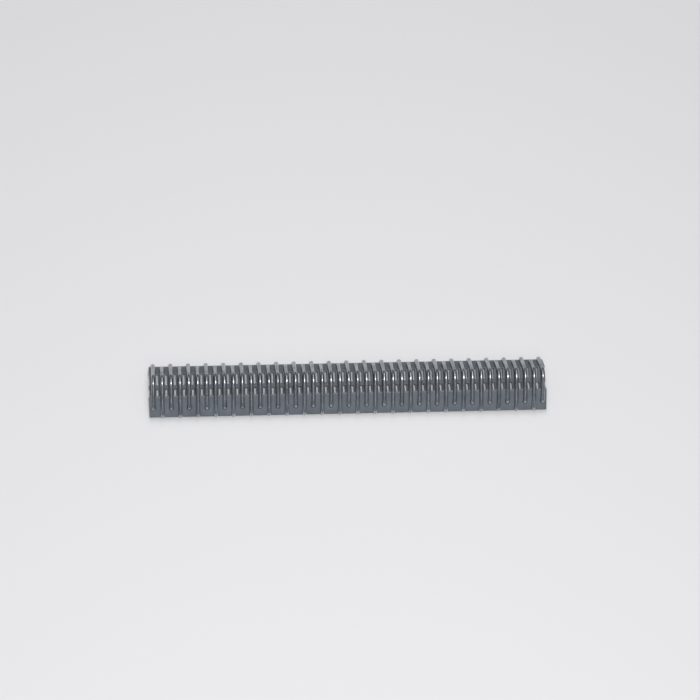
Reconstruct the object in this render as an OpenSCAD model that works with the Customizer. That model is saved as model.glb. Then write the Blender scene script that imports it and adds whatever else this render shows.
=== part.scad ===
// Strip of carded wire hooks for joining the ends of a conveyor belt.
// The strip runs along X with its front towards -Y, and stands on the points of its long legs at z = 0.
// Each hook is one wire: a crown, two legs that rest on the card, and a point at the end of each leg.

/* [Strip] */
// Number of hooks on the strip
hook_count = 45; // [2:1:59]
// Distance between the centres of neighbouring hooks
hook_pitch = 3.95; // [3.6:0.05:8]
// Length of card beyond the centre of each end hook
end_margin = 1.8; // [1.2:0.05:1.9]

/* [Hook] */
// Diameter of the wire, under half the pitch so that two strips can mesh
wire_d = 1.83; // [1.2:0.01:1.9]
// Slope of the legs below the horizontal, in degrees
leg_slope = 43; // [38:1:48]
// Inside radius of the crown, which holds the hinge pin
crown_inner_r = 2.6; // [2:0.1:3.2]
// Inside radius of the bend between a leg and its point
bend_inner_r = 0.5; // [0.3:0.05:0.9]
// Length of a point, from the centre line of its leg to its tip
point_len = 5; // [4.6:0.1:7]
// Length of the taper at the end of a point
tip_len = 1.8; // [1:0.1:2.4]
// Diameter of the blunt end of a point
tip_d = 0.3; // [0.1:0.05:0.6]
// Distance of the long leg's point from the edge of the card
long_point_inset = 0.5; // [0.2:0.1:1.2]
// Distance of the short leg's point from the edge of the card
short_point_inset = 3.8; // [3.2:0.1:6]

/* [Card] */
// Thickness of the card
card_t = 0.5; // [0.3:0.05:0.8]
// Width of each flange, from its ridge line to its edge
flange_w = 9.6; // [8.5:0.1:13]
// Distance between the two ridge lines
ridge_gap = 11.3; // [10:0.1:13]
// Slope of the webs that sink from the ridges to the spine, in degrees
web_slope = 21.5; // [14:0.5:26]
// Width of the flat spine
spine_w = 1.9; // [1.2:0.1:3]
// Inside radius of the folds
fold_inner_r = 0.4; // [0.2:0.05:0.7]
// Width of the rung of card under each hook
rung_w = 2.85; // [2.4:0.05:3.1]
// Distance from a ridge line to the end of a slot
slot_end_gap = 0.3; // [0:0.05:1]

/* [Fits] */
// Gap between a leg and the flange that it rests on
seat_gap = 0.02; // [0.01:0.01:0.1]
// Gap between a point and its hole, all round
hole_gap = 0.05; // [0.02:0.01:0.15]

/* [Hidden] */
$fn = 48;
wire_colour = [0.45, 0.46, 0.48];
card_colour = [0.36, 0.39, 0.42];

function hook_name(number) = str("hook_", number < 10 ? "0" : "", number);

strip_len = (hook_count - 1) * hook_pitch + 2 * end_margin;
function hook_x(number) = (number - (hook_count + 1) / 2) * hook_pitch;

// Centre-line radii of the wire, and the height of a leg's centre line above its flange
wire_r = wire_d / 2;
crown_r = crown_inner_r + wire_r;
bend_r = bend_inner_r + wire_r;
leg_lift = wire_r + seat_gap;

// Section of the card, as (across, up): edge, ridge line and spine of one half
edge_y = ridge_gap / 2 + flange_w * cos(leg_slope);
edge_z = (point_len - leg_lift) * cos(leg_slope) + (tip_d / 2 - long_point_inset) * sin(leg_slope);
ridge_z = edge_z + flange_w * sin(leg_slope);
web_across = (ridge_gap - spine_w) / 2;
web_w = web_across / cos(web_slope);
spine_z = ridge_z - web_across * tan(web_slope);

// Lengths that the folds take from the flat runs beside them
spine_fold_len = fold_inner_r * tan(web_slope / 2);
ridge_fold_len = (fold_inner_r + card_t) * tan((web_slope + leg_slope) / 2);

// The centre lines of the two legs meet at an apex that the crown rounds off
leg_y = edge_y + leg_lift * sin(leg_slope);
leg_z = edge_z + leg_lift * cos(leg_slope);
apex_z = leg_z + leg_y * tan(leg_slope);
crown_z = apex_z - crown_r / cos(leg_slope);
function straight_len(inset) = leg_y / cos(leg_slope) - inset - crown_r * tan(leg_slope) - bend_r;
shank_len = point_len - bend_r - tip_len;

slot_w = hook_pitch - rung_w;
slot_start = spine_w / 2;
slot_len = ridge_gap / 2 - slot_end_gap - slot_start;
hole_d = wire_d + 2 * hole_gap;
cut_depth = 3 * card_t;

// Turns a shape drawn in section, as (across, up), so that its depth runs along the strip
module along_strip() {
    rotate([90, 0, 90]) children();
}

// Both halves of something that is the same in front and behind
module both_sides() {
    for (front = [0, 1])
        mirror([front, 0, 0]) children();
}

// Flat run of card, upper face on the line, with the next run at its far end
module flat_run(len) {
    translate([0, -card_t, 0])
        cube([len, card_t, strip_len]);
    translate([len, 0, 0])
        children();
}

// Quarter or less of a tube, swept through an angle from a start angle
module fold(start, angle) {
    rotate(start)
        rotate_extrude(angle = angle)
            translate([fold_inner_r, 0])
                square([card_t, strip_len]);
}

// Fold downwards, with the upper face on the outside
module fold_down(angle) {
    outer_r = fold_inner_r + card_t;
    translate([0, -outer_r, 0]) {
        fold(90 - angle, angle);
        rotate(-angle)
            translate([0, outer_r, 0])
                children();
    }
}

// Fold upwards, with the upper face on the inside
module fold_up(angle) {
    translate([0, fold_inner_r, 0]) {
        fold(-90, angle);
        rotate(angle)
            translate([0, -fold_inner_r, 0])
                children();
    }
}

// Half of the card's section, folded from the middle of the spine out to one edge
module folded_half() {
    translate([0, spine_z, -strip_len / 2])
        flat_run(spine_w / 2 - spine_fold_len)
            fold_up(web_slope)
                flat_run(web_w - spine_fold_len - ridge_fold_len)
                    fold_down(web_slope + leg_slope)
                        flat_run(flange_w - ridge_fold_len);
}

// Slots between the rungs, on one side of the spine
module slot_row() {
    for (gap = [0 : hook_count])
        translate([slot_start, 0, hook_x(gap + 0.5) - slot_w / 2])
            cube([slot_len, ridge_z + card_t, slot_w]);
}

// Hole in a flange for a point, lengthened uphill for the inside of the wire's bend
module point_hole(inset) {
    translate([edge_y, edge_z, 0])
        rotate(-leg_slope)
            translate([-inset, card_t, 0])
                rotate([90, 0, 0]) {
                    for (uphill = [0, bend_inner_r])
                        translate([-uphill, 0, 0])
                            cylinder(d = hole_d, h = cut_depth);
                    translate([-bend_inner_r, -hole_d / 2, 0])
                        cube([bend_inner_r, hole_d, cut_depth]);
                }
}

// Long leg behind on odd hooks, and in front on even ones
function is_long_behind(number) = number % 2 == 1;
function back_inset(number) = is_long_behind(number) ? long_point_inset : short_point_inset;
function front_inset(number) = is_long_behind(number) ? short_point_inset : long_point_inset;

// Tapered point with its blunt tip
module point() {
    cylinder(d = wire_d, h = shank_len);
    translate([0, 0, shank_len])
        cylinder(d1 = wire_d, d2 = tip_d, h = tip_len);
}

// Arc of wire about the origin
module wire_arc(radius, start, angle) {
    rotate(start)
        rotate_extrude(angle = angle)
            translate([radius, 0])
                circle(d = wire_d);
}

// Leg, bend and point on one side, from the end of a crown that is centred on the origin
module hook_side(inset) {
    straight = straight_len(inset);
    rotate(-leg_slope)
        translate([0, crown_r, 0]) {
            rotate([0, 90, 0])
                cylinder(d = wire_d, h = straight);
            translate([straight, -bend_r, 0]) {
                wire_arc(bend_r, 0, 90);
                translate([bend_r, 0, 0])
                    rotate([90, 0, 0])
                        point();
            }
        }
}

// Folded card that carries the hooks
module carrier_card() {
    color(card_colour)
        along_strip()
            difference() {
                both_sides() folded_half();
                both_sides() slot_row();
                for (number = [1 : hook_count])
                    translate([0, 0, hook_x(number)]) {
                        point_hole(back_inset(number));
                        mirror([1, 0, 0]) point_hole(front_inset(number));
                    }
            }
}

// One hook, numbered from the left
module hook(number) {
    color(wire_colour)
        translate([hook_x(number), 0, crown_z])
            along_strip() {
                wire_arc(crown_r, 90 - leg_slope, 2 * leg_slope);
                hook_side(back_inset(number));
                mirror([1, 0, 0]) hook_side(front_inset(number));
            }
}

carrier_card();
for (number = [1 : hook_count])
    hook(number);
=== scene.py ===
"""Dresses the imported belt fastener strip: drawn steel hooks, a folded fibre card, and a plain stage."""

import math

import bmesh
import bpy
from mathutils import Matrix, Vector


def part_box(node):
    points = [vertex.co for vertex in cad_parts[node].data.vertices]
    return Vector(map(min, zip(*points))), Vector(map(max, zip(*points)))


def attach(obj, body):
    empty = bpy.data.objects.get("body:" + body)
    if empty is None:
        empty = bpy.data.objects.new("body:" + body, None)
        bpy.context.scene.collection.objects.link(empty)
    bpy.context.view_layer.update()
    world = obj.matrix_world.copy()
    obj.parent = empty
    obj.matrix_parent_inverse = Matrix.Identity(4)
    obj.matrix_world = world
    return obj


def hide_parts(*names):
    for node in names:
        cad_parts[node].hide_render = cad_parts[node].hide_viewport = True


bl_info = {
    "name": "Belt Fastener Strip",
    "version": (1, 0, 0),
    "blender": (4, 5, 0),
    "location": "View3D > Sidebar > Strip",
    "description": "Models the hooks and the carrier card of a belt fastener strip, and sets its stage",
    "category": "Object",
}

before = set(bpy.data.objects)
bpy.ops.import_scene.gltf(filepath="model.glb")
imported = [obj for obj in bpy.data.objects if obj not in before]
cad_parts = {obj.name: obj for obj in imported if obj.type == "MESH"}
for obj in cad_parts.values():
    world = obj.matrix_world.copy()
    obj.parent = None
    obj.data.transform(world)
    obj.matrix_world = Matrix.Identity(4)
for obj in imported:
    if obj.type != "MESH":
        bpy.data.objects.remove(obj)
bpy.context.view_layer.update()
CARD_NODE = "carrier_card"
HOOK_NODES = sorted(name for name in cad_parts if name.startswith("hook_"))
BODY = "root"

CARD_LOW, CARD_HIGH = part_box(CARD_NODE)
HOOK_LOW, HOOK_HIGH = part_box(HOOK_NODES[0])
PHOTO_PIXELS = 700
MILLIMETRE = 0.001
X_AXIS = Vector((1.0, 0.0, 0.0))
WIRE_ATTRIBUTE = "straight_wire"

# Each hook is cut from its own stretch of wire, this many hook heights after the last
STRETCH_HEIGHTS = 4
# Length and end width of the rounding of a tip, as shares of the tip's diameter
TIP_ROUND_LEN = 0.25
TIP_ROUND_END = 0.5
# Edges that turn more than this were cut, and those that turn less were folded or pressed
CUT_CORNER = math.radians(60)
# How far the camera sees, in distances from it to the strip
CAMERA_REACH = 10


def length(name, description, default):
    """A size in metres that a user can change."""
    return bpy.props.FloatProperty(
        name=name,
        description=description,
        default=default,
        min=0.0,
        precision=5,
        subtype="DISTANCE",
        unit="LENGTH",
    )


def angle(name, description, degrees):
    """An angle that a user can change, given in degrees."""
    return bpy.props.FloatProperty(
        name=name, description=description, default=math.radians(degrees), subtype="ANGLE", unit="ROTATION"
    )


def number(name, description, default):
    """A plain factor that a user can change."""
    return bpy.props.FloatProperty(name=name, description=description, default=default, min=0.0)


def count(name, description, default):
    """A whole number that a user can change."""
    return bpy.props.IntProperty(name=name, description=description, default=default, min=1)


def colour(name, description, default):
    """A linear colour that a user can change."""
    return bpy.props.FloatVectorProperty(
        name=name, description=description, default=default, size=3, min=0.0, max=1.0, subtype="COLOR"
    )


class STRIP_PG_hook(bpy.types.PropertyGroup):
    """Sizes of one wire hook, and how finely its wire is divided"""

    wire_d: length("Wire", "Diameter of the wire", HOOK_HIGH.x - HOOK_LOW.x)
    top: length("Top", "Height of the top of the crown", HOOK_HIGH.z)
    leg_slope: angle("Leg slope", "Slope of the legs below the horizontal", 43)
    crown_inner_r: length("Crown", "Inside radius of the crown", 2.6 * MILLIMETRE)
    bend_inner_r: length("Bend", "Inside radius of the bend at the end of a leg", 0.5 * MILLIMETRE)
    point_len: length("Point", "Length of a point from its leg's centre line", 5.0 * MILLIMETRE)
    tip_len: length("Taper", "Length of the taper of a point", 1.8 * MILLIMETRE)
    tip_d: length("Tip", "Diameter of the blunt tip", 0.3 * MILLIMETRE)
    long_inset: length("Long leg", "Distance of the long leg's point from the edge", 0.5 * MILLIMETRE)
    short_inset: length("Short leg", "Distance of the short leg's point from the edge", 3.8 * MILLIMETRE)
    seat_gap: length("Seat gap", "Gap between a leg and the card", 0.02 * MILLIMETRE)
    segments: count("Segments", "Sides of the wire's section", 24)
    crown_steps: count("Crown steps", "Divisions of the crown", 24)
    bend_steps: count("Bend steps", "Divisions of each bend", 10)
    leg_steps: count("Leg steps", "Divisions of each leg", 6)


class STRIP_PG_card(bpy.types.PropertyGroup):
    """Sizes of the folded card"""

    thickness: length("Thickness", "Thickness of the card", 0.5 * MILLIMETRE)
    flange_w: length("Flange", "Width of a flange from its ridge line to its edge", 9.6 * MILLIMETRE)
    ridge_gap: length("Ridges", "Distance between the ridge lines", 11.3 * MILLIMETRE)
    web_slope: angle("Web slope", "Slope of the webs between the ridges and the spine", 21.5)
    spine_w: length("Spine", "Width of the flat spine", 1.9 * MILLIMETRE)
    fold_inner_r: length("Fold", "Inside radius of the folds", 0.4 * MILLIMETRE)
    rung_w: length("Rung", "Width of the rung under each hook", 2.85 * MILLIMETRE)
    slot_end_gap: length("Slot end", "Distance from a ridge line to the end of a slot", 0.3 * MILLIMETRE)
    hole_gap: length("Hole gap", "Gap between a point and its hole", 0.05 * MILLIMETRE)
    hole_border: length("Hole border", "Flat card round the dent of a hole", 0.08 * MILLIMETRE)
    dent_w: length("Dent width", "Width of the dent that a point presses round its hole", 0.3 * MILLIMETRE)
    dent_depth: length("Dent depth", "Depth of that dent at the rim of the hole", 0.16 * MILLIMETRE)
    dent_steps: count("Dent steps", "Rings from the rim of a dent to its hole", 3)
    edge_round: length("Edge", "Rounding of the cut edges", 0.06 * MILLIMETRE)
    fold_steps: count("Fold steps", "Divisions of each fold", 8)
    hole_segments: count("Hole segments", "Sides of a hole", 24)


class STRIP_PG_finish(bpy.types.PropertyGroup):
    """Colours and gloss of the two materials"""

    wire_bright: colour("Bright wire", "Clean drawn steel", (0.39, 0.42, 0.455))
    wire_dull: colour("Dull wire", "Steel where the drawing film has stayed on", (0.22, 0.24, 0.262))
    wire_roughness: number("Wire roughness", "Roughness of clean wire", 0.29)
    card_light: colour("Light fibre", "Lighter fibres of the card", (0.125, 0.145, 0.168))
    card_dark: colour("Dark fibre", "Darker fibres of the card", (0.083, 0.098, 0.116))
    card_worn: colour("Worn fibre", "Bare fibre along the folds and the long edges", (0.180, 0.200, 0.222))
    card_roughness: number("Card roughness", "Roughness of the pressed face", 0.55)


class STRIP_PG_stage(bpy.types.PropertyGroup):
    """Floor, light and camera"""

    floor_size: length("Floor", "Side of the floor", 4.0)
    floor_colour: colour("Floor colour", "Pale floor", (0.72, 0.72, 0.73))
    world_colour: colour("World", "Dim light from all round", (0.14, 0.14, 0.145))
    key_strength: number("Key lamp", "Light that the main lamp throws on the strip", 1.75)
    key_size: length("Key size", "Diameter of the main lamp", 0.1)
    key_right: angle("Key right", "Turn of the main lamp to the camera's right, seen from the strip", 2.5)
    key_up: angle("Key up", "Turn of the main lamp above the camera, seen from the strip", 2)
    soft_radiance: number("Soft lamp", "Brightness of the soft lamp's face", 2.6)
    soft_width: length("Soft width", "Side of the soft lamp along the strip", 0.4)
    soft_length: length("Soft length", "Side of the soft lamp across the strip", 2.65)
    soft_height: length("Soft height", "Height of the soft lamp above the floor", 1.0)
    soft_front: length("Soft front", "Shift of the soft lamp to the front", 0.3)
    azimuth: angle("Azimuth", "Turn of the camera to the right of the front", -8.0)
    elevation: angle("Elevation", "Height of the camera above the horizon", 62.7)
    roll: angle("Roll", "Turn of the camera about its own axis", 5.97)
    distance: length("Distance", "Camera to the middle of the strip", 1.4)
    pixels_per_metre: number("Scale", "Pixels of the photograph to a metre at the strip", 2237.0)
    middle_x: number("Middle across", "Pixel column of the strip's middle", 348.0)
    middle_y: number("Middle down", "Pixel row of the strip's middle", 383.8)
    middle_height: length("Middle height", "Height of that middle above the floor", 7.0 * MILLIMETRE)


class STRIP_PG_settings(bpy.types.PropertyGroup):
    """Everything that can be changed"""

    hook: bpy.props.PointerProperty(type=STRIP_PG_hook, name="Hook")
    card: bpy.props.PointerProperty(type=STRIP_PG_card, name="Card")
    finish: bpy.props.PointerProperty(type=STRIP_PG_finish, name="Finish")
    stage: bpy.props.PointerProperty(type=STRIP_PG_stage, name="Stage")


def across(y, z):
    """A point or direction in the strip's cross-section."""
    return Vector((0.0, y, z))


def web_across(card):
    """Width of a web as seen from above."""
    return (card.ridge_gap - card.spine_w) / 2


class Section:
    """Lines of the cross-section that the hooks and the card share, for the back half."""

    def __init__(self, hook, card):
        self.slope = hook.leg_slope
        self.down_leg = across(math.cos(self.slope), -math.sin(self.slope))
        self.off_leg = across(math.sin(self.slope), math.cos(self.slope))
        self.wire_r = hook.wire_d / 2
        self.crown_r = hook.crown_inner_r + self.wire_r
        self.bend_r = hook.bend_inner_r + self.wire_r
        self.crown_centre = across(0.0, hook.top - self.crown_r - self.wire_r)
        edge_z = CARD_LOW.z + card.thickness * math.cos(self.slope)
        self.edge = across(CARD_HIGH.y, edge_z)
        self.ridge = self.edge - self.down_leg * card.flange_w
        self.spine_z = self.ridge.z - web_across(card) * math.tan(card.web_slope)
        self.leg_at_edge = self.edge + self.off_leg * (self.wire_r + hook.seat_gap)

    def straight_len(self, inset):
        """Length of the straight stretch of a leg."""
        from_apex = self.leg_at_edge.y / math.cos(self.slope)
        return from_apex - inset - self.crown_r * math.tan(self.slope) - self.bend_r

    def point_axis(self, inset):
        """Where the axis of a point meets the outer face of the card."""
        return self.edge - self.down_leg * inset


def to_side(vector, side):
    """A vector of the back half (side 1), or the same in the front half (side -1)."""
    return Vector((vector.x, vector.y * side, vector.z))


def only(items, kind):
    """The items that are of one bmesh kind."""
    return [item for item in items if isinstance(item, kind)]


class Sweep:
    """Draws an open line or ring of edges through straight runs and turns about X, one row at a time."""

    def __init__(self, bm, verts, edges):
        self.bm = bm
        self.verts = verts
        self.edges = edges
        self.faces = []

    def step(self):
        """Extrudes the last row on the spot."""
        made = bmesh.ops.extrude_edge_only(self.bm, edges=self.edges)["geom"]
        self.verts = only(made, bmesh.types.BMVert)
        fresh = set(self.verts)
        self.edges = [edge for edge in only(made, bmesh.types.BMEdge) if set(edge.verts) <= fresh]
        self.faces = only(made, bmesh.types.BMFace)

    def run(self, vector):
        """Straight run by a vector."""
        self.step()
        bmesh.ops.translate(self.bm, verts=self.verts, vec=vector)

    def turn(self, centre, turn_angle):
        """Turn about an axis along X through a centre."""
        self.step()
        bmesh.ops.rotate(self.bm, verts=self.verts, cent=centre, matrix=Matrix.Rotation(turn_angle, 3, "X"))

    def pinch(self, factor):
        """Scales the last row about its own middle."""
        middle = sum((vert.co for vert in self.verts), Vector()) / len(self.verts)
        bmesh.ops.scale(self.bm, verts=self.verts, vec=(factor,) * 3, space=Matrix.Translation(-middle))


def finish_mesh(bm, name, sharp_angle):
    """Turns a bmesh into a smooth-shaded mesh with sharp edges above an angle."""
    mesh = bpy.data.meshes.new(name)
    bm.to_mesh(mesh)
    bm.free()
    mesh.shade_smooth()
    mesh.set_sharp_from_angle(angle=sharp_angle)
    return mesh


def add_piece(name, mesh, material, node):
    """Links a finished piece that stands for one node of the frame."""
    piece = bpy.data.objects.new(name, mesh)
    mesh.materials.clear()
    mesh.materials.append(material)
    bpy.context.scene.collection.objects.link(piece)
    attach(piece, BODY)
    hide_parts(node)
    return piece


def new_material(name):
    """A new node material and its Principled shader."""
    material = bpy.data.materials.new(name)
    material.use_nodes = True
    return material, material.node_tree.nodes["Principled BSDF"]


def node_of(material, kind, **values):
    """Adds a node and sets its properties."""
    node = material.node_tree.nodes.new(kind)
    for key, value in values.items():
        setattr(node, key, value)
    return node


def link(material, output, socket):
    """Joins two sockets."""
    material.node_tree.links.new(output, socket)


def noise(material, vector, scale, detail=4.0, roughness=0.6):
    """Noise with so many cells to a metre, read at a vector socket."""
    texture = node_of(material, "ShaderNodeTexNoise")
    texture.inputs["Scale"].default_value = scale
    texture.inputs["Detail"].default_value = detail
    texture.inputs["Roughness"].default_value = roughness
    link(material, vector, texture.inputs["Vector"])
    return texture.outputs["Fac"]


def stretched(material, vector, scale):
    """A vector socket scaled by a different amount along each axis."""
    mapping = node_of(material, "ShaderNodeMapping")
    mapping.inputs["Scale"].default_value = scale
    link(material, vector, mapping.inputs["Vector"])
    return mapping.outputs["Vector"]


def remap(material, value, low, high, to_low=0.0, to_high=1.0):
    """Maps a value from one range to another."""
    node = node_of(material, "ShaderNodeMapRange")
    node.inputs["From Min"].default_value = low
    node.inputs["From Max"].default_value = high
    node.inputs["To Min"].default_value = to_low
    node.inputs["To Max"].default_value = to_high
    link(material, value, node.inputs["Value"])
    return node.outputs["Result"]


def by_identifier(sockets, identifier):
    """The socket with an identifier, where several share a name."""
    return next(socket for socket in sockets if socket.identifier == identifier)


def feed(material, value, socket):
    """Links a socket into a socket, or sets it to a plain colour."""
    if isinstance(value, bpy.types.NodeSocket):
        link(material, value, socket)
    else:
        socket.default_value = (*value, 1.0)


def maths(material, operation, *values):
    """A Math node on sockets and plain numbers."""
    node = node_of(material, "ShaderNodeMath", operation=operation)
    for value, socket in zip(values, node.inputs):
        if isinstance(value, bpy.types.NodeSocket):
            link(material, value, socket)
        else:
            socket.default_value = value
    return node.outputs["Value"]


def blend_colours(material, factor, first, second):
    """Mixes two colours, plain or from sockets, by a factor socket."""
    mix = node_of(material, "ShaderNodeMix", data_type="RGBA")
    for identifier, value in (("A_Color", first), ("B_Color", second)):
        feed(material, value, by_identifier(mix.inputs, identifier))
    link(material, factor, mix.inputs["Factor"])
    return by_identifier(mix.outputs, "Result_Color")


def bump(material, height, strength, distance):
    """Bump from a height socket, where the distance is the height of a full step."""
    node = node_of(material, "ShaderNodeBump")
    node.inputs["Strength"].default_value = strength
    node.inputs["Distance"].default_value = distance
    link(material, height, node.inputs["Height"])
    return node.outputs["Normal"]


def drawn_wire(finish):
    """Bright drawn steel with die lines along the wire and patches of dull drawing film."""
    material, shader = new_material("drawn_steel_wire")
    straight = node_of(material, "ShaderNodeAttribute", attribute_name=WIRE_ATTRIBUTE).outputs["Vector"]
    long_lines = stretched(material, straight, (1.0, 1.0, 0.02))
    die_lines = noise(material, long_lines, scale=3000.0, detail=3.0)
    long_patches = stretched(material, straight, (1.0, 1.0, 0.35))
    film = noise(material, long_patches, scale=700.0, detail=2.0)
    dull = remap(material, film, low=0.42, high=0.72)
    tone = blend_colours(material, dull, finish.wire_bright, finish.wire_dull)
    link(material, tone, shader.inputs["Base Color"])
    smoothest = finish.wire_roughness - 0.02
    roughest = finish.wire_roughness + 0.06
    rough = remap(material, film, low=0.3, high=0.8, to_low=smoothest, to_high=roughest)
    link(material, rough, shader.inputs["Roughness"])
    grooves = bump(material, die_lines, strength=0.08, distance=0.02 * MILLIMETRE)
    link(material, grooves, shader.inputs["Normal"])
    shader.inputs["Metallic"].default_value = 1.0
    return material


def worn_lines(material, place, section):
    """How worn the card is: along the ridges and the long edges, in broken patches."""
    parts = node_of(material, "ShaderNodeSeparateXYZ")
    link(material, place, parts.inputs["Vector"])
    from_middle = maths(material, "ABSOLUTE", parts.outputs["Y"])
    off_ridge = maths(material, "ABSOLUTE", maths(material, "SUBTRACT", from_middle, section.ridge.y))
    ridge = remap(material, off_ridge, low=0.0, high=0.5 * MILLIMETRE, to_low=0.7, to_high=0.0)
    above_edge = maths(material, "SUBTRACT", parts.outputs["Z"], section.edge.z)
    edge_bottom = -0.4 * MILLIMETRE
    edge_top = 0.2 * MILLIMETRE
    edge = remap(material, above_edge, low=edge_bottom, high=edge_top, to_low=1.0, to_high=0.0)
    scuffs = noise(material, stretched(material, place, (0.4, 1.0, 1.0)), scale=900.0)
    patches = remap(material, scuffs, low=0.4, high=0.65)
    return maths(material, "MULTIPLY", maths(material, "MAXIMUM", ridge, edge), patches)


def fibre_card(finish, section):
    """Dark pressed fibre card: fine fibres along the strip over a soft mottle, with worn folds and edges."""
    material, shader = new_material("dark_fibre_card")
    place = node_of(material, "ShaderNodeTexCoord").outputs["Object"]
    along_strip = stretched(material, place, (0.25, 1.0, 1.0))
    fibres = noise(material, along_strip, scale=2600.0, detail=5.0, roughness=0.7)
    mottle = noise(material, place, scale=160.0)
    tone = remap(material, maths(material, "ADD", fibres, mottle), low=0.7, high=1.3)
    plain = blend_colours(material, tone, finish.card_dark, finish.card_light)
    worn = blend_colours(material, worn_lines(material, place, section), plain, finish.card_worn)
    link(material, worn, shader.inputs["Base Color"])
    smoothest = finish.card_roughness - 0.06
    roughest = finish.card_roughness + 0.1
    rough = remap(material, fibres, low=0.3, high=0.7, to_low=smoothest, to_high=roughest)
    link(material, rough, shader.inputs["Roughness"])
    nap = bump(material, fibres, strength=0.3, distance=0.03 * MILLIMETRE)
    link(material, nap, shader.inputs["Normal"])
    shader.inputs["Specular IOR Level"].default_value = 0.4
    return material


def pale_floor(settings):
    """Plain pale matt floor."""
    material, shader = new_material("pale_floor")
    shader.inputs["Base Color"].default_value = (*settings.floor_colour, 1.0)
    shader.inputs["Roughness"].default_value = 0.9
    shader.inputs["Specular IOR Level"].default_value = 0.1
    return material


def mark_ring(verts, layer, along):
    """Writes how far along the unbent wire a ring lies, and keeps its place round the wire."""
    for vert in verts:
        vert[layer] = Vector((vert[layer].x, vert[layer].y, along))


def sweep_leg(sweep, layer, hook, section, side, inset, start):
    """Draws the leg, bend, point and tip of one side from an end of the crown."""
    along = start
    straight = section.straight_len(inset)
    down = to_side(section.down_leg, side)
    inward = -to_side(section.off_leg, side)
    for _ in range(hook.leg_steps):
        sweep.run(down * (straight / hook.leg_steps))
        along += side * straight / hook.leg_steps
        mark_ring(sweep.verts, layer, along)
    leg_end = to_side(section.leg_at_edge - section.down_leg * (inset + section.bend_r), side)
    bend_centre = leg_end + inward * section.bend_r
    turn = -side * math.pi / 2 / hook.bend_steps
    for _ in range(hook.bend_steps):
        sweep.turn(bend_centre, turn)
        along += side * section.bend_r * abs(turn)
        mark_ring(sweep.verts, layer, along)
    shank = hook.point_len - section.bend_r - hook.tip_len
    round_len = hook.tip_d * TIP_ROUND_LEN
    for run_len, factor in (
        (shank, 1.0),
        (hook.tip_len - round_len, hook.tip_d / hook.wire_d),
        (round_len, TIP_ROUND_END),
    ):
        sweep.run(inward * run_len)
        sweep.pinch(factor)
        along += side * run_len
        mark_ring(sweep.verts, layer, along)
    bmesh.ops.contextual_create(sweep.bm, geom=sweep.edges)


def hook_mesh(name, hook, section, front_inset, back_inset):
    """One hook at x = 0: a ring of the wire's section drawn from point to point."""
    bm = bmesh.new()
    layer = bm.verts.layers.float_vector.new(WIRE_ATTRIBUTE)
    front_end = math.pi / 2 + section.slope
    ring_place = Matrix.Rotation(front_end, 4, "X")
    outwards = ring_place @ Vector((0.0, section.crown_r, 0.0))
    matrix = Matrix.Translation(section.crown_centre + outwards) @ ring_place
    ring = bmesh.ops.create_circle(bm, segments=hook.segments, radius=section.wire_r, matrix=matrix)["verts"]
    unplace = matrix.inverted()
    for vert in ring:
        vert[layer] = unplace @ vert.co
    ring_edges = list(bm.edges)
    crown = Sweep(bm, ring, ring_edges)
    turn = -2 * section.slope / hook.crown_steps
    along = 0.0
    for _ in range(hook.crown_steps):
        crown.turn(section.crown_centre, turn)
        along += section.crown_r * abs(turn)
        mark_ring(crown.verts, layer, along)
    sweep_leg(crown, layer, hook, section, 1, back_inset, along)
    sweep_leg(Sweep(bm, ring, ring_edges), layer, hook, section, -1, front_inset, 0.0)
    bmesh.ops.recalc_face_normals(bm, faces=bm.faces)
    return finish_mesh(bm, name, sharp_angle=math.radians(40))


def moved_copy(mesh, name, shift, wire_start):
    """A copy of a hook's mesh, moved along the strip and cut from another stretch of wire."""
    copy = mesh.copy()
    copy.name = name
    copy.transform(Matrix.Translation(shift))
    for place in copy.attributes[WIRE_ATTRIBUTE].data:
        place.vector = place.vector + Vector((0.0, 0.0, wire_start))
    return copy


def is_long_behind(position):
    """The first hook and every second one after it have their long leg behind."""
    return position % 2 == 0


def insets(hook, position):
    """Distances of the front and back points of a hook from the card's edges."""
    if is_long_behind(position):
        return hook.short_inset, hook.long_inset
    return hook.long_inset, hook.short_inset


def node_middle_x(node):
    """Where along the strip a node of the frame lies."""
    low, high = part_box(node)
    return (low.x + high.x) / 2


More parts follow.
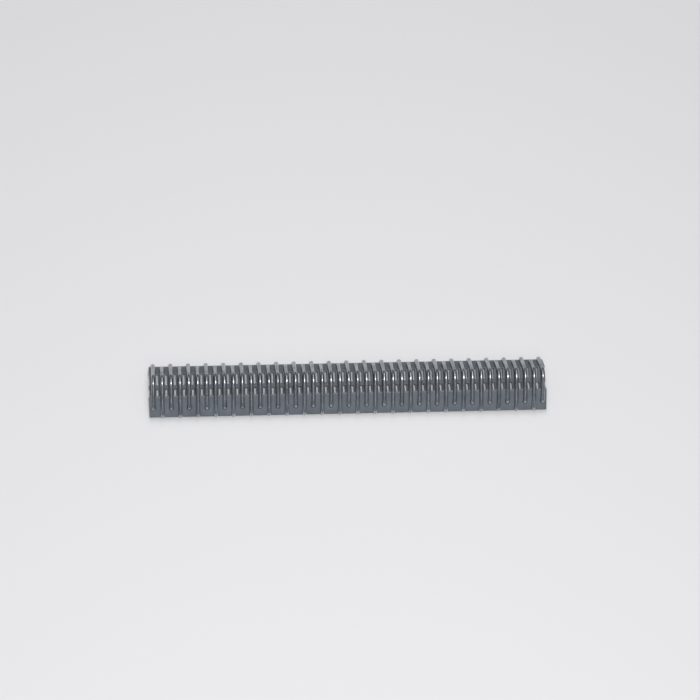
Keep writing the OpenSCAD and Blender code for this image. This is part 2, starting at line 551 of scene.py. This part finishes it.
class CardHalf:
    """Draws half of the card from the middle of its spine to one edge, and pierces it."""

    def __init__(self, bm, settings, section, side):
        self.bm = bm
        self.hook = settings.hook
        self.card = settings.card
        self.section = section
        self.side = side
        self.middles = [node_middle_x(node) for node in HOOK_NODES]
        self.heading = across(side, 0.0)
        self.sweep = self.first_row()

    def first_row(self):
        """A line along the spine with a point at both sides of each rung."""
        half_rung = self.card.rung_w / 2
        stops = [CARD_LOW.x, CARD_HIGH.x]
        for middle in self.middles:
            stops += [middle - half_rung, middle + half_rung]
        verts = [self.bm.verts.new((x, 0.0, self.section.spine_z)) for x in sorted(stops)]
        edges = [self.bm.edges.new(pair) for pair in zip(verts, verts[1:])]
        return Sweep(self.bm, verts, edges)

    def run(self, distance):
        """Flat run of card."""
        self.sweep.run(self.heading * distance)
        return sorted(self.sweep.faces, key=lambda face: face.calc_center_median().x)

    def fold(self, fold_angle, radius, up):
        """Fold of the outer face, upwards or downwards, at a radius."""
        normal = across(-self.heading.z * self.side, self.heading.y * self.side)
        centre = self.sweep.verts[0].co + normal * (radius if up else -radius)
        turn = fold_angle * self.side * (1 if up else -1)
        for _ in range(self.card.fold_steps):
            self.sweep.turn(centre, turn / self.card.fold_steps)
        self.heading = Matrix.Rotation(turn, 3, "X") @ self.heading

    def draw(self):
        """Follows the section out to just past the edge, and cuts the holes in the flange."""
        card = self.card
        section = self.section
        ridge_turn = card.web_slope + section.slope
        spine_cut = card.fold_inner_r * math.tan(card.web_slope / 2)
        ridge_r = card.fold_inner_r + card.thickness
        ridge_cut = ridge_r * math.tan(ridge_turn / 2)
        web_len = web_across(card) / math.cos(card.web_slope)
        self.run(card.spine_w / 2 - spine_cut)
        self.fold(card.web_slope, card.fold_inner_r, up=True)
        self.run(web_len - spine_cut - ridge_cut)
        self.fold(ridge_turn, ridge_r, up=False)
        self.flange(card.flange_w - ridge_cut)

    def hole_r(self):
        """Radius of a hole for a point."""
        return self.section.wire_r + self.card.hole_gap

    def hole_rows(self):
        """Distances from the edge at which the rows round the short and long holes start and end."""
        below = self.hole_r() + self.card.dent_w + self.card.hole_border
        above = below + self.hook.bend_inner_r
        both_insets = (self.hook.short_inset, self.hook.long_inset)
        return {inset: (inset + above, inset - below) for inset in both_insets}

    def flange(self, start):
        """Rows of the flange, measured from the edge, with a hole at each hook."""
        at = start
        for inset, (row_start, row_end) in self.hole_rows().items():
            self.run(at - row_start)
            row = self.run(row_start - row_end)
            at = row_end
            for position, middle in enumerate(self.middles):
                front, back = insets(self.hook, position)
                if inset == (back if self.side > 0 else front):
                    self.pierce(row[2 * position + 1], middle, inset)

    def pierce(self, face, middle, inset):
        """Puts a dented hole in a face, lengthened uphill for the inside of the wire's bend."""
        axis_point = to_side(self.section.point_axis(inset), self.side) + X_AXIS * middle
        down = to_side(self.section.down_leg, self.side)
        normal = to_side(self.section.off_leg, self.side)
        place = Matrix.Translation(axis_point) @ Matrix((X_AXIS, down, normal)).transposed().to_4x4()
        steps = self.card.dent_steps
        rings = [self.dent_ring(place, -down, step / steps) for step in range(steps + 1)]
        for outer, inner in zip(rings, rings[1:]):
            bmesh.ops.bridge_loops(self.bm, edges=outer + inner)
        border = list(face.edges)
        bmesh.ops.delete(self.bm, geom=[face], context="FACES_ONLY")
        bmesh.ops.triangle_fill(self.bm, use_beauty=True, edges=border + rings[0], normal=normal)

    def dent_ring(self, place, uphill, inward):
        """One ring of a dent, from its outer rim at 0 to the rim of the hole at 1."""
        radius = self.hole_r() + self.card.dent_w * (1 - inward)
        sunk = place @ Matrix.Translation((0.0, 0.0, -self.card.dent_depth * inward**2))
        segments = self.card.hole_segments
        ring = bmesh.ops.create_circle(self.bm, segments=segments, radius=radius, matrix=sunk)["verts"]
        upper = [vert for vert in ring if (vert.co - place.translation).dot(uphill) > 0]
        bmesh.ops.translate(self.bm, verts=upper, vec=uphill * self.hook.bend_inner_r)
        return list(dict.fromkeys(edge for vert in ring for edge in vert.link_edges))


def open_slots(bm, card):
    """Removes the card between the rungs, from the spine to just short of each ridge."""
    start = card.spine_w / 2
    end = card.ridge_gap / 2 - card.slot_end_gap
    middles = [node_middle_x(node) for node in HOOK_NODES]
    half_rung = card.rung_w / 2
    slots = []
    for face in bm.faces:
        middle = face.calc_center_median()
        off_rung = min(abs(middle.x - hook_x) for hook_x in middles)
        if start < abs(middle.y) < end and off_rung > half_rung:
            slots.append(face)
    bmesh.ops.delete(bm, geom=slots, context="FACES")


def trim_edges(bm, section):
    """Cuts both flanges off along the card's edges, which opens the outer holes into notches."""
    for side in (1, -1):
        bmesh.ops.bisect_plane(
            bm,
            geom=bm.verts[:] + bm.edges[:] + bm.faces[:],
            plane_co=to_side(section.edge, side),
            plane_no=to_side(section.down_leg, side),
            clear_outer=True,
        )


def is_cut(edge):
    """Whether an edge of the solid card lies along a cut."""
    return len(edge.link_faces) == 2 and edge.calc_face_angle() > CUT_CORNER


def card_mesh(name, settings, section):
    """The folded card as one closed sheet with softened cut edges."""
    card = settings.card
    bm = bmesh.new()
    for side in (1, -1):
        CardHalf(bm, settings, section, side).draw()
    merge_distance = card.edge_round / 10
    bmesh.ops.remove_doubles(bm, verts=bm.verts, dist=merge_distance)
    open_slots(bm, card)
    trim_edges(bm, section)
    bmesh.ops.recalc_face_normals(bm, faces=bm.faces)
    if sum(face.normal.z * face.calc_area() for face in bm.faces) < 0:
        bmesh.ops.reverse_faces(bm, faces=bm.faces)
    bmesh.ops.solidify(bm, geom=bm.faces[:], thickness=card.thickness)
    bmesh.ops.bevel(
        bm,
        geom=[edge for edge in bm.edges if is_cut(edge)],
        offset=card.edge_round,
        segments=2,
        profile=0.5,
        affect="EDGES",
        material=-1,
        clamp_overlap=True,
    )
    return finish_mesh(bm, name, sharp_angle=math.radians(35))


class STRIP_OT_hooks(bpy.types.Operator):
    """Models the wire hooks, each in the place of its own node"""

    bl_idname = "strip.hooks"
    bl_label = "Wire Hooks"

    def execute(self, context):
        settings = context.scene.strip
        hook = settings.hook
        section = Section(hook, settings.card)
        material = drawn_wire(settings.finish)
        patterns = {}
        for position in (0, 1):
            patterns[position] = hook_mesh("hook_pattern", hook, section, *insets(hook, position))
        stretch = STRETCH_HEIGHTS * hook.top
        for position, node in enumerate(HOOK_NODES):
            shift = X_AXIS * node_middle_x(node)
            mesh = moved_copy(patterns[position % 2], node + "_wire", shift, position * stretch)
            add_piece(node + "_wire", mesh, material, node)
        for pattern in patterns.values():
            bpy.data.meshes.remove(pattern)
        return {"FINISHED"}


class STRIP_OT_card(bpy.types.Operator):
    """Models the folded card that carries the hooks"""

    bl_idname = "strip.card"
    bl_label = "Carrier Card"

    def execute(self, context):
        settings = context.scene.strip
        section = Section(settings.hook, settings.card)
        mesh = card_mesh("folded_card", settings, section)
        add_piece("folded_card", mesh, fibre_card(settings.finish, section), CARD_NODE)
        return {"FINISHED"}


def camera_axes(settings):
    """Right, up and backward directions of the camera, with its roll."""
    right = Vector((math.cos(settings.azimuth), math.sin(settings.azimuth), 0.0))
    level = Vector((right.y, -right.x, 0.0))
    back = level * math.cos(settings.elevation) + Vector((0.0, 0.0, math.sin(settings.elevation)))
    up = back.cross(right)
    cos_roll = math.cos(settings.roll)
    sin_roll = math.sin(settings.roll)
    return right * cos_roll + up * sin_roll, up * cos_roll - right * sin_roll, back


def add_camera(settings):
    """Camera at the photograph's angle, turned so that the strip's middle falls on its pixel."""
    right, up, back = camera_axes(settings)
    middle = Vector((0.0, 0.0, settings.middle_height))
    place = middle + back * settings.distance
    half_frame = PHOTO_PIXELS / 2
    aim = middle + right * ((half_frame - settings.middle_x) / settings.pixels_per_metre)
    aim += up * ((settings.middle_y - half_frame) / settings.pixels_per_metre)
    backwards = (place - aim).normalized()
    across_frame = up.cross(backwards).normalized()
    upwards = backwards.cross(across_frame)
    data = bpy.data.cameras.new("photo_camera")
    data.lens = data.sensor_width * settings.pixels_per_metre * settings.distance / PHOTO_PIXELS
    data.clip_end = CAMERA_REACH * settings.distance
    camera = bpy.data.objects.new("photo_camera", data)
    turned = Matrix((across_frame, upwards, backwards)).transposed().to_4x4()
    camera.matrix_world = Matrix.Translation(place) @ turned
    bpy.context.scene.collection.objects.link(camera)
    bpy.context.scene.camera = camera


def add_floor(settings):
    """Flat floor under the points."""
    bm = bmesh.new()
    bmesh.ops.create_grid(bm, x_segments=1, y_segments=1, size=settings.floor_size / 2)
    mesh = bpy.data.meshes.new("floor")
    bm.to_mesh(mesh)
    bm.free()
    mesh.materials.append(pale_floor(settings))
    floor = bpy.data.objects.new("floor", mesh)
    bpy.context.scene.collection.objects.link(floor)


def add_key_lamp(settings):
    """Small main lamp beside the camera, which faces the strip."""
    right, up, back = camera_axes(settings)
    towards_lamp = back + right * math.tan(settings.key_right) + up * math.tan(settings.key_up)
    data = bpy.data.lights.new("key_lamp", "AREA")
    data.shape = "DISK"
    data.size = settings.key_size
    data.energy = settings.key_strength * math.pi * settings.distance**2
    lamp = bpy.data.objects.new("key_lamp", data)
    lamp.location = towards_lamp.normalized() * settings.distance
    lamp.rotation_mode = "QUATERNION"
    lamp.rotation_quaternion = towards_lamp.to_track_quat("Z", "Y")
    bpy.context.scene.collection.objects.link(lamp)


def add_soft_lamp(settings):
    """Long soft lamp overhead, which runs from behind the strip to in front of it."""
    data = bpy.data.lights.new("soft_lamp", "AREA")
    data.shape = "RECTANGLE"
    data.size = settings.soft_width
    data.size_y = settings.soft_length
    data.energy = settings.soft_radiance * math.pi * settings.soft_width * settings.soft_length
    lamp = bpy.data.objects.new("soft_lamp", data)
    lamp.location = (0.0, -settings.soft_front, settings.soft_height)
    bpy.context.scene.collection.objects.link(lamp)


def set_world(settings):
    """Even dim light from all round."""
    world = bpy.data.worlds.new("studio")
    world.use_nodes = True
    background = world.node_tree.nodes["Background"]
    background.inputs["Color"].default_value = (*settings.world_colour, 1.0)
    bpy.context.scene.world = world


class STRIP_OT_stage(bpy.types.Operator):
    """Sets the floor, the light and the camera"""

    bl_idname = "strip.stage"
    bl_label = "Stage"

    def execute(self, context):
        settings = context.scene.strip.stage
        add_camera(settings)
        add_floor(settings)
        add_key_lamp(settings)
        add_soft_lamp(settings)
        set_world(settings)
        context.scene.view_settings.view_transform = "Standard"
        return {"FINISHED"}


class STRIP_PT_panel(bpy.types.Panel):
    """Lists the steps and the sizes of the strip"""

    bl_idname = "STRIP_PT_panel"
    bl_label = "Belt Fastener Strip"
    bl_space_type = "VIEW_3D"
    bl_region_type = "UI"
    bl_category = "Strip"

    def draw(self, context):
        settings = context.scene.strip
        for operator in OPERATORS:
            self.layout.operator(operator.bl_idname)
        for group in (settings.hook, settings.card, settings.finish, settings.stage):
            box = self.layout.box()
            for name in group.__annotations__:
                box.prop(group, name)


GROUPS = (STRIP_PG_hook, STRIP_PG_card, STRIP_PG_finish, STRIP_PG_stage, STRIP_PG_settings)
OPERATORS = (STRIP_OT_card, STRIP_OT_hooks, STRIP_OT_stage)
CLASSES = (*GROUPS, *OPERATORS, STRIP_PT_panel)


def register():
    """Adds the classes and the scene's settings."""
    for cls in CLASSES:
        bpy.utils.register_class(cls)
    bpy.types.Scene.strip = bpy.props.PointerProperty(type=STRIP_PG_settings)


def unregister():
    """Removes the settings and the classes."""
    del bpy.types.Scene.strip
    for cls in reversed(CLASSES):
        bpy.utils.unregister_class(cls)


def main():
    """Registers the add-on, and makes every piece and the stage."""
    register()
    bpy.ops.strip.card()
    bpy.ops.strip.hooks()
    bpy.ops.strip.stage()


if __name__ == "__main__":
    main()
